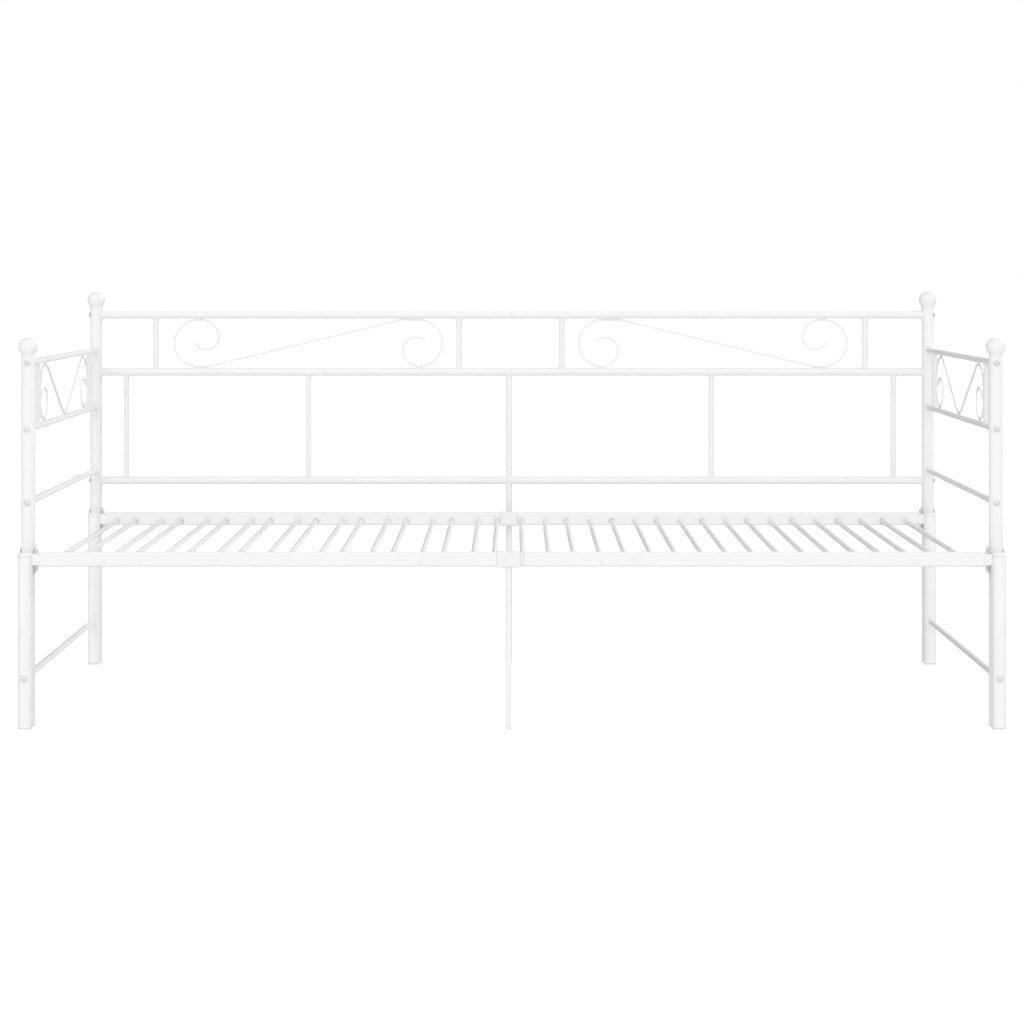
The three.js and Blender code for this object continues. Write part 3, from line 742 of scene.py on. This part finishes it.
def back_scroll(sign):
    setback, inner, shift = UPPER_STILES
    inner_loop = inner + INNER_END["clear"]
    outer_loop = post_x - setback - OUTER_END["clear"]
    start = inner_loop + INNER_END["flat"]
    stop = outer_loop - OUTER_END["flat"]
    x0 = sign * (start + stop) / 2 + shift
    z0 = (panel_top_z + panel_mid_z) / 2
    loop = (panel_top_z - panel_mid_z) / 2 - RAIL_RADIUS - ROD_RADIUS - TOUCH
    angle, slope = cross_tangent(stop - start, 0, loop, loop)
    near = scroll_end(angle, slope, loop, INNER_END, INNER_COILS)
    far = scroll_end(angle, slope, loop, OUTER_END, OUTER_COILS)
    whole = [(-x, -z) for x, z in far[:0:-1]] + near
    bm = bmesh.new()
    rod(bm, [at(x0 - sign * x, rear_y, z0 + z) for x, z in whole], ROD_RADIUS, BACK)
    reach = loop + ROD_RADIUS
    flats = ((inner_loop + INNER_END["flat"] / 2, 1, 26), (inner_loop, -1, 16))
    flats += ((outer_loop - OUTER_END["flat"] / 2, -1, 20), (outer_loop - OUTER_END["crown"] / 2, 1, 18))
    for distance, edge, length in flats:
        tack(bm, at(sign * distance + shift, rear_y, z0 + edge * reach), RIGHT, length * MM)
    return bm


def add_back():
    for side, sign in SIDES:
        piece(f"back_panel_{side}_fine", back_panel(sign), "frame_paint", "frame", f"back_panel_{side}")
        piece(f"back_scroll_{side}_fine", back_scroll(sign), "frame_paint", "frame", f"back_scroll_{side}")
    foot_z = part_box("centre_stile")[0][2]
    bm = bmesh.new()
    lower = at(centre_x, rear_y, foot_z)
    tube(bm, lower, at(centre_x, rear_y, foot_z + STILE_SOCKET), CENTRE_STILE_RADIUS, CENTRE_WALL)
    joint = at(centre_x, rear_y, foot_z + STILE_SOCKET - LAP)
    rail = (RAIL_RADIUS, RIGHT)
    strut(bm, joint, at(centre_x, rear_y, panel_mid_z), CENTRE_STILE_RADIUS, last=rail)
    piece("centre_stile_fine", bm, "frame_paint", "frame", "centre_stile")
    for node, z in (("top_rail_dowel", panel_top_z), ("middle_rail_dowel", panel_mid_z)):
        low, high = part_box(node)
        radius, chamfer = RAIL_RADIUS - POST_WALL - 0.8 * MM, 1 * MM
        length = high[0] - low[0]
        profile = [(radius - chamfer, 0), (radius, chamfer)]
        profile += [(radius, length - chamfer), (radius - chamfer, length)]
        bm = bmesh.new()
        turned(bm, profile, at(low[0], rear_y, z), RIGHT)
        piece(node + "_fine", bm, "bright_zinc", "frame", node)


# ---------------------------------------------------------------- rails, joiners and slats
def slat_places(sign, layout):
    first, shift = layout
    return [shift + sign * (first + SLAT_PITCH * step) for step in range(SLATS_PER_HALF)]


def slat_z():
    return middle("fixed_slats_left").z - SLAT_DROP


def slat_holes(xs, y):
    tool = bmesh.new()
    for x in xs:
        start, stop = at(x, y - CUT_REACH, slat_z()), at(x, y + CUT_REACH, slat_z())
        strut(tool, start, stop, SLAT_RADIUS + 1.2 * MM, sides=32)
    return tool


def bushes(name, xs, front, rear, body):
    """Flanged bushes in both faces of a rail, round the slats that slide through it."""
    bm = bmesh.new()
    bore, flange, edge = SLAT_RADIUS + 0.35 * MM, BUSH_RADIUS, 0.4 * MM
    sleeve, depth = SLAT_RADIUS + 1.1 * MM, 3 * MM
    profile = [(bore, -depth), (sleeve, -depth), (sleeve, 0), (flange, 0), (flange, 0.5 * MM)]
    profile += [(flange - edge, 0.8 * MM), (bore + edge, 1 * MM), (bore, 0.8 * MM)]
    for x in xs:
        for y, outward in ((front, -BACK), (rear, BACK)):
            turned(bm, profile, at(x, y, slat_z()), outward, 32, loop=True)
    piece(name, bm, "joiner_plastic", body)


def box_rail(x0, x1, y, z, holes=()):
    """A box rail, with a hole for each slat that slides through it."""
    half = at(0, RAIL_HALF_DEPTH, RAIL_HALF_HEIGHT)
    bm = bmesh.new()
    box_tube(bm, at(x0, y, z) - half, at(x1, y, z) + half)
    if holes:
        bm = bored(bm, slat_holes(holes, y))
    return bm


def fixed_rail(node, sign, y, z, holes):
    """A rail of the frame, with the end plate that fastens it to a post."""
    low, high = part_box(node)
    x0, x1 = (low[0] + PLATE, high[0]) if sign < 0 else (low[0], high[0] - PLATE)
    bm = box_rail(x0, x1, y, z, holes)
    face = low[0] if sign < 0 else high[0] - PLATE
    rounded_box(bm, at(face, low[1], low[2]), at(face + PLATE, high[1], high[2]), 0.8 * MM)
    inner = face + (PLATE if sign < 0 else 0)
    for edge in (-1, 1):
        tack(bm, at(inner, y, z + edge * RAIL_HALF_HEIGHT), BACK, 14 * MM, 1.6 * MM)
        tack(bm, at(inner, y + edge * RAIL_HALF_DEPTH, z), UP, 26 * MM, 1.6 * MM)
    piece(node + "_fine", bm, "frame_paint", "frame", node)


def add_rails():
    fixed_z = middle("fixed_front_joiner").z
    pull_z = middle("pull_front_joiner").z
    for side, sign in SIDES:
        front_holes = slat_places(sign, PULL_SLATS)
        rear_holes = slat_places(sign, FIXED_SLATS)
        for end, y, holes in (("front", front_y, front_holes), ("rear", rear_y, ())):
            fixed_rail(f"fixed_{end}_rail_{side}", sign, y, fixed_z, holes)
        for end, y, holes in (("front", pull_front_y, ()), ("rear", pull_rear_y, rear_holes)):
            node = f"pull_{end}_rail_{side}"
            low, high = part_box(node)
            bm = box_rail(low[0], high[0], y, pull_z, holes)
            piece(node + "_fine", bm, "frame_paint", "pull_out", node)
        low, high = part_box(f"pull_rear_rail_{side}")
        bushes(f"rear_rail_bushes_{side}", rear_holes, low[1], high[1], "pull_out")
        # The end plates make the fixed front rail's own box too deep to place its bushes by.
        front, rear = front_y - RAIL_HALF_DEPTH, front_y + RAIL_HALF_DEPTH
        bushes(f"front_rail_bushes_{side}", front_holes, front, rear, "frame")


def joiner(node, body, collar_length, bore=None, holes=()):
    """A collar with a spigot on either side, bored for the centre stile or for slats."""
    low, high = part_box(node)
    centre = middle(node)
    bm = bmesh.new()
    half = collar_length / 2 + COLLAR_LAP
    collar_low = at(centre.x - half, low[1], low[2])
    rounded_box(bm, collar_low, at(centre.x + half, high[1], high[2]), 2.6 * MM, 4)
    spigot = at(0, RAIL_HALF_DEPTH - SPIGOT_INSET, RAIL_HALF_HEIGHT - SPIGOT_INSET)
    for sign in (-1, 1):
        ends = sorted((centre.x + sign * (half - 2 * MM), low[0] if sign < 0 else high[0]))
        spigot_low = at(ends[0], centre.y - spigot.y, centre.z - spigot.z)
        spigot_high = at(ends[1], centre.y + spigot.y, centre.z + spigot.z)
        rounded_box(bm, spigot_low, spigot_high, 1.4 * MM)
    if bore:
        tool = bmesh.new()
        strut(tool, centre - UP * BORE_REACH, centre + UP * BORE_REACH, bore, sides=40)
        bm = bored(bm, tool)
    if holes:
        bm = bored(bm, slat_holes(holes, centre.y))
    piece(node + "_fine", bm, "joiner_plastic", body, node)


def add_joiners():
    joiner("fixed_front_joiner", "frame", COLLAR_LENGTH)
    joiner("fixed_rear_joiner", "frame", COLLAR_LENGTH, bore=CENTRE_STILE_RADIUS + 0.5 * MM)
    joiner("pull_front_joiner", "pull_out", FRONT_COLLAR_LENGTH)
    first, shift = FIXED_SLATS
    joiner("pull_rear_joiner", "pull_out", COLLAR_LENGTH, holes=(shift - first, shift + first))


def slat_set(node, body, sign, layout, strip_at_front):
    low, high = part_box(node)
    bm = bmesh.new()
    if strip_at_front:
        strip_y = (low[1], low[1] + STRIP_THICKNESS)
        slat_y = (strip_y[1] - 0.2 * MM, high[1])
    else:
        strip_y = (high[1] - STRIP_THICKNESS, high[1])
        slat_y = (strip_y[0] + 0.2 * MM, low[1])
    rounded_box(bm, at(low[0], strip_y[0], low[2]), at(high[0], strip_y[1], high[2]), 0.7 * MM)
    for x in slat_places(sign, layout):
        tube(bm, at(x, slat_y[0], slat_z()), at(x, slat_y[1], slat_z()), SLAT_RADIUS, SLAT_WALL, 32)
        foot = at(x, slat_y[0], slat_z())
        path = [foot + at(math.cos(t), 0, math.sin(t)) * (SLAT_RADIUS + 0.3 * MM) for t in angles(40)]
        rod(bm, path, ripple(1.2 * MM), BACK, sides=8, loop=True)
    piece(node + "_fine", bm, "slat_paint", body, node)


def add_slats():
    for side, sign in SIDES:
        slat_set(f"fixed_slats_{side}", "frame", sign, FIXED_SLATS, False)
        slat_set(f"pull_slats_{side}", "pull_out", sign, PULL_SLATS, True)


# ---------------------------------------------------------------- guide bars and centre leg
def add_guides():
    for side, sign in SIDES:
        leg = (POST_RADIUS, UP)
        bm = bmesh.new()
        x = sign * post_x
        strut(bm, at(x, pull_front_y, guide_z), at(x, pull_rear_y, guide_z), BAR_RADIUS, leg, leg)
        piece(f"guide_bar_{side}_fine", bm, "frame_paint", "pull_out", f"guide_bar_{side}")
    low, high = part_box("centre_leg")
    bm = bmesh.new()
    bottom, top = at(centre_x, pull_front_y, low[2]), at(centre_x, pull_front_y, high[2])
    tube(bm, bottom, top, CENTRE_LEG_RADIUS, CENTRE_WALL)
    piece("centre_leg_fine", bm, "frame_paint", "pull_out", "centre_leg")


# ---------------------------------------------------------------- fasteners in place
def add_fasteners():
    for side, sign in SIDES:
        x = sign * post_x
        bolts, pull_bolts = bmesh.new(), bmesh.new()
        for z in (arm_top_z, arm_low_z, side_bar_z):
            button_bolt(bolts, at(x, front_y - POST_RADIUS, z), -BACK)
            button_bolt(bolts, at(x, rear_y + POST_RADIUS, z), BACK)
        for z in (panel_top_z, panel_low_z):
            button_bolt(bolts, at(x + sign * POST_RADIUS, rear_y, z), RIGHT * sign)
        plate_z = middle("fixed_front_joiner").z
        for y in (front_y, rear_y):
            for edge in (-1, 1):
                z = plate_z + edge * PLATE_BOLT_RISE
                outer = at(x + sign * POST_RADIUS, y, z)
                button_bolt(bolts, outer, RIGHT * sign, head=5 * MM, height=2.6 * MM)
                cap_nut(bolts, at(x - sign * (POST_RADIUS + NUT_GAP), y, z), RIGHT * -sign)
        for y, outward in ((pull_front_y, -BACK), (pull_rear_y, BACK)):
            button_bolt(pull_bolts, at(x, y + outward.y * POST_RADIUS, guide_z), outward)
        piece(f"frame_bolts_{side}", bolts, "bright_zinc", "frame")
        piece(f"pull_out_bolts_{side}", pull_bolts, "bright_zinc", "pull_out")
    face_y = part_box("pull_front_rail_left")[0][1]
    screws = bmesh.new()
    for sign in (-1, 1):
        xs = slat_places(sign, PULL_SLATS)
        for slat in SCREWED_SLATS:
            face = at(xs[slat], face_y, slat_z())
            button_bolt(screws, face, -BACK, head=3.6 * MM, height=1.5 * MM, socket=1.2 * MM)
    piece("front_rail_screws", screws, "frame_paint", "pull_out")


# ---------------------------------------------------------------- stage, light and camera
def add_stage():
    bm = bmesh.new()
    bmesh.ops.create_grid(bm, x_segments=1, y_segments=1, size=FLOOR_REACH)
    mesh = bpy.data.meshes.new("floor")
    bm.to_mesh(mesh)
    bm.free()
    floor = bpy.data.objects.new("floor", mesh)
    bpy.context.scene.collection.objects.link(floor)
    graph = Graph("pale_floor")
    graph.shader.inputs["Base Color"].default_value = (FLOOR_TONE, FLOOR_TONE, FLOOR_TONE, 1)
    graph.shader.inputs["Roughness"].default_value = 0.9
    graph.shader.inputs["Specular IOR Level"].default_value = 0.1
    graph.shader.inputs["Emission Color"].default_value = (1, 1, 1, 1)
    graph.shader.inputs["Emission Strength"].default_value = FLOOR_GLOW
    floor.data.materials.append(graph.material)
    floor.visible_diffuse = False
    floor.visible_glossy = False
    floor.visible_shadow = False


def sun(name, strength, spread, turn):
    """A broad soft light from far away. turn holds its rotation in degrees, as is spread."""
    light = bpy.data.lights.new(name, "SUN")
    light.energy = strength
    light.angle = math.radians(spread)
    made = bpy.data.objects.new(name, light)
    made.rotation_euler = [math.radians(value) for value in turn]
    bpy.context.scene.collection.objects.link(made)


def ease(tree, direction, towards, low, high):
    """Eases from 0 to 1 as the cosine to a direction goes from low to high."""
    facing = tree.nodes.new("ShaderNodeVectorMath")
    facing.operation = "DOT_PRODUCT"
    facing.inputs[1].default_value = towards
    share = tree.nodes.new("ShaderNodeMapRange")
    share.interpolation_type = "SMOOTHSTEP"
    share.inputs["From Min"].default_value = low
    share.inputs["From Max"].default_value = high
    tree.links.new(direction, facing.inputs[0])
    tree.links.new(facing.outputs["Value"], share.inputs["Value"])
    return share.outputs["Result"]


def combine(tree, operation, first, second):
    """The product or the sum of two values."""
    node = tree.nodes.new("ShaderNodeMath")
    node.operation = operation
    for socket, value in zip(node.inputs, (first, second)):
        if isinstance(value, (int, float)):
            socket.default_value = value
        else:
            tree.links.new(value, socket)
    return node.outputs[0]


def studio_glow(tree, dim, bright, panel):
    """A strength that is bright in front and dim behind, with one bright panel behind to the right."""
    direction = tree.nodes.new("ShaderNodeTexCoord").outputs["Generated"]
    ahead = ease(tree, direction, Vector((0.1, -1, 0.1)).normalized(), -1, 0.3)
    walls = combine(tree, "ADD", combine(tree, "MULTIPLY", ahead, bright - dim), dim)
    behind = ease(tree, direction, BACK, 0.85, 0.97)
    right = ease(tree, direction, RIGHT, -0.01, 0.035)
    extra = combine(tree, "MULTIPLY", combine(tree, "MULTIPLY", behind, right), panel)
    return combine(tree, "ADD", walls, extra)


def add_light():
    """A white studio. The camera itself sees plain white behind the object."""
    world = bpy.data.worlds.new("studio")
    bpy.context.scene.world = world
    world.use_nodes = True
    tree = world.node_tree
    fill = tree.nodes["Background"]
    fill.inputs["Color"].default_value = (1, 1, 1, 1)
    tree.links.new(studio_glow(tree, dim=0.3, bright=0.99, panel=0.6), fill.inputs["Strength"])
    seen = tree.nodes.new("ShaderNodeBackground")
    seen.inputs["Color"].default_value = (1, 1, 1, 1)
    path = tree.nodes.new("ShaderNodeLightPath")
    mix = tree.nodes.new("ShaderNodeMixShader")
    tree.links.new(path.outputs["Is Camera Ray"], mix.inputs[0])
    tree.links.new(fill.outputs[0], mix.inputs[1])
    tree.links.new(seen.outputs[0], mix.inputs[2])
    tree.links.new(mix.outputs[0], tree.nodes["World Output"].inputs[0])
    sun("key", strength=0.34, spread=40, turn=(62, 0, -6))
    sun("glint", strength=0.8, spread=24, turn=(-30, 50, 0))
    bpy.context.scene.view_settings.view_transform = "Standard"


def add_camera():
    """Level, from the front, with the horizon high in the picture."""
    camera = bpy.data.cameras.new("camera")
    camera.lens = LENS
    camera.sensor_width = SENSOR
    camera.shift_y = LENS_SHIFT
    camera.clip_end = 200
    made = bpy.data.objects.new("camera", camera)
    made.location = EYE
    made.rotation_euler = (math.radians(90), 0, 0)
    bpy.context.scene.collection.objects.link(made)
    bpy.context.scene.camera = made


add_camera()
add_stage()
add_light()
add_caps()
add_posts()
add_pull_legs()
add_arms()
add_back()
add_rails()
add_joiners()
add_slats()
add_guides()
add_fasteners()
